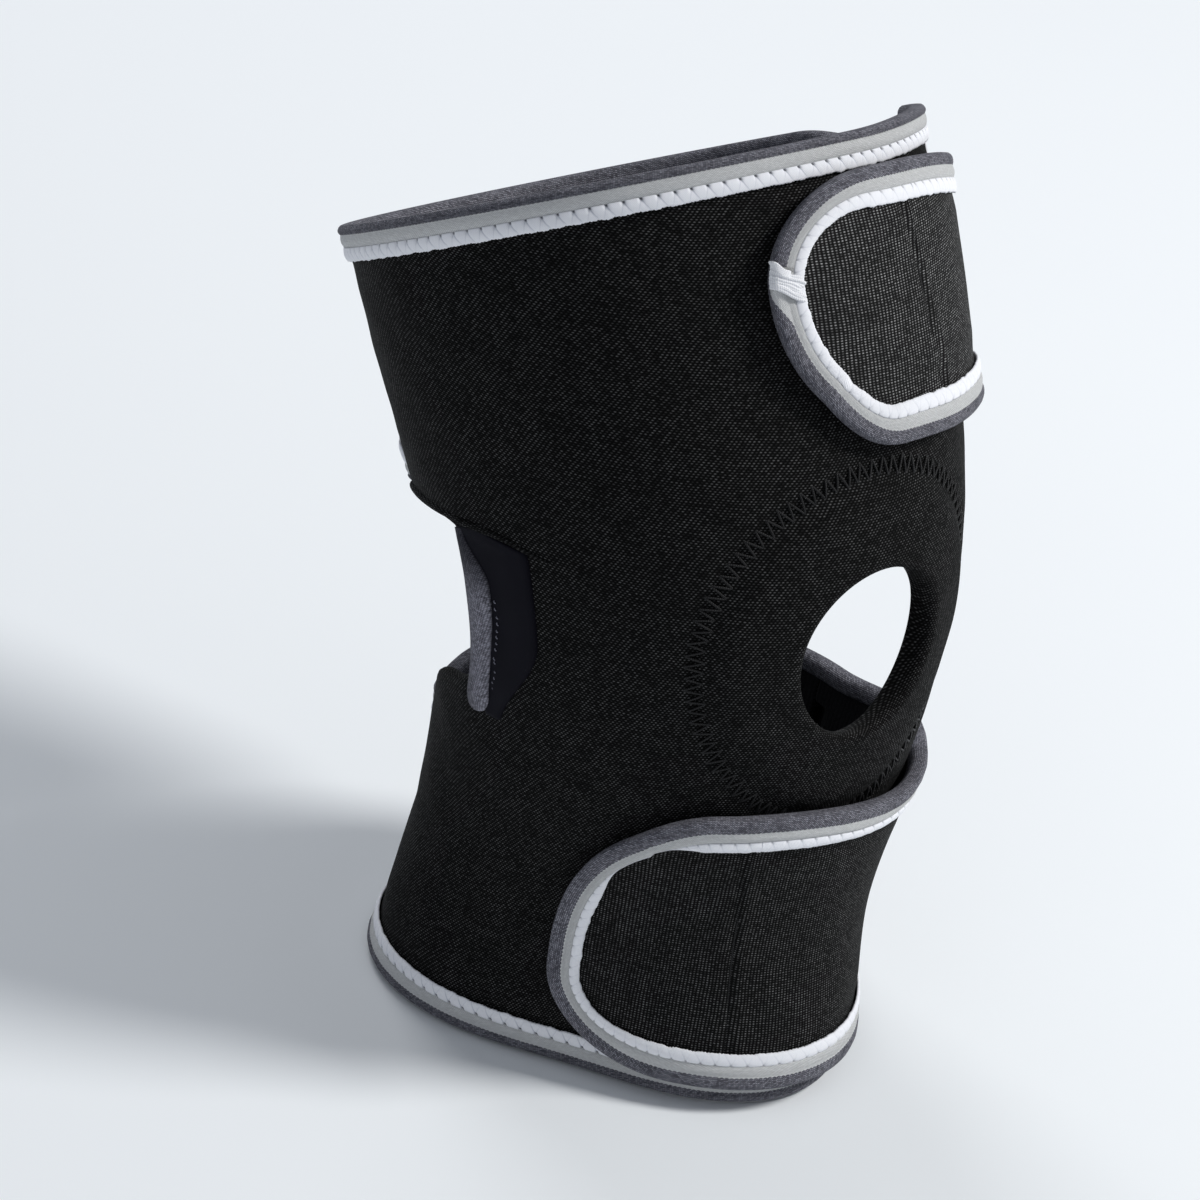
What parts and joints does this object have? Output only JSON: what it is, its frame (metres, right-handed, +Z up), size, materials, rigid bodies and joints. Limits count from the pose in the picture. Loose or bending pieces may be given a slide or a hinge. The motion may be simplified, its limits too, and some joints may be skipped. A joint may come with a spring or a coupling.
{
  "type": "knee brace",
  "caption": "Black neoprene wrap-around knee brace with an open patella, an open back of the knee and two hook-and-loop straps, bound in grey and white.",
  "frame": {"origin": "middle of the bounding box at the bottom of the calf hem", "axes": "+Z up along the calf section, -Y towards the front of the knee, -X the side with the cut-out, +X the side where the straps cross the panel"},
  "size_m": [0.1598, 0.1936, 0.2612],
  "materials": {
    "panel": "matte",
    "strap": "matte",
    "binding": "matte",
    "piping": "matte",
    "stitching": "matte",
    "facing": "matte",
    "thread": "matte",
    "hook": "matte",
    "foam": "matte"
  },
  "bodies": {
    "calf": {"calf_panel": "panel", "calf_hem_binding": "binding", "calf_hem_piping": "piping", "calf_hem_stitching": "stitching", "calf_wing_binding": "binding", "calf_wing_piping": "piping", "calf_wing_stitching": "stitching", "calf_side_binding": "binding", "calf_side_piping": "piping", "calf_side_stitching": "stitching", "knee_panel": "panel", "patella_buttress": "foam", "buttress_cover": "facing", "patella_zigzag": "thread", "opening_binding": "binding", "opening_seam": "thread", "opening_facing": "facing", "knee_side_binding": "binding", "knee_side_piping": "piping", "knee_side_stitching": "stitching"},
    "thigh": {"thigh_panel": "panel", "thigh_rim_binding": "binding", "thigh_rim_piping": "piping", "thigh_rim_stitching": "stitching", "thigh_wing_binding": "binding", "thigh_wing_piping": "piping", "thigh_wing_stitching": "stitching", "thigh_side_binding": "binding", "thigh_side_piping": "piping", "thigh_side_stitching": "stitching"},
    "upper_strap": {"upper_strap": "strap", "upper_strap_top_binding": "binding", "upper_strap_top_piping": "piping", "upper_strap_top_stitching": "stitching", "upper_strap_bottom_binding": "binding", "upper_strap_bottom_piping": "piping", "upper_strap_bottom_stitching": "stitching"},
    "upper_tab": {"upper_tab": "strap", "upper_tab_hook_patch": "hook", "upper_tab_edge_binding": "binding", "upper_tab_edge_piping": "piping", "upper_tab_edge_stitching": "stitching", "trim_join": "stitching"},
    "lower_strap": {"lower_strap": "strap", "lower_strap_top_binding": "binding", "lower_strap_top_piping": "piping", "lower_strap_top_stitching": "stitching", "lower_strap_bottom_binding": "binding", "lower_strap_bottom_piping": "piping", "lower_strap_bottom_stitching": "stitching"},
    "lower_tab": {"lower_tab": "strap", "lower_tab_hook_patch": "hook", "lower_tab_edge_binding": "binding", "lower_tab_edge_piping": "piping", "lower_tab_edge_stitching": "stitching"}
  },
  "joints": [
    {"name": "knee_flex", "type": "hinge", "parent": "calf", "child": "thigh", "pos_m": [-0.00105, -0.02644, 0.12613], "axis": [-1, 0, 0], "range_deg": [-30, 30], "deforming": ["knee_panel", "patella_buttress", "buttress_cover", "patella_zigzag", "opening_binding", "opening_seam", "opening_facing", "knee_side_binding", "knee_side_piping", "knee_side_stitching"]},
    {"name": "upper_strap_open", "type": "hinge", "parent": "thigh", "child": "upper_strap", "pos_m": [0.05758, 0.05432, 0.16763], "axis": [0.0605, 0.5423, 0.838], "range_deg": [0, 80]},
    {"name": "upper_tab_peel", "type": "hinge", "parent": "upper_strap", "child": "upper_tab", "pos_m": [0.02233, -0.06441, 0.22301], "axis": [0.0141, 0.451, 0.8924], "range_deg": [0, 95]},
    {"name": "lower_strap_open", "type": "hinge", "parent": "calf", "child": "lower_strap", "pos_m": [0.06503, -0.01715, 0.0396], "axis": [0.0327, 0.0046, 0.9995], "range_deg": [0, 80]},
    {"name": "lower_tab_peel", "type": "hinge", "parent": "lower_strap", "child": "lower_tab", "pos_m": [-0.02754, -0.08877, 0.04881], "axis": [-0.0031, -0.0053, 1], "range_deg": [0, 95]}
  ]
}
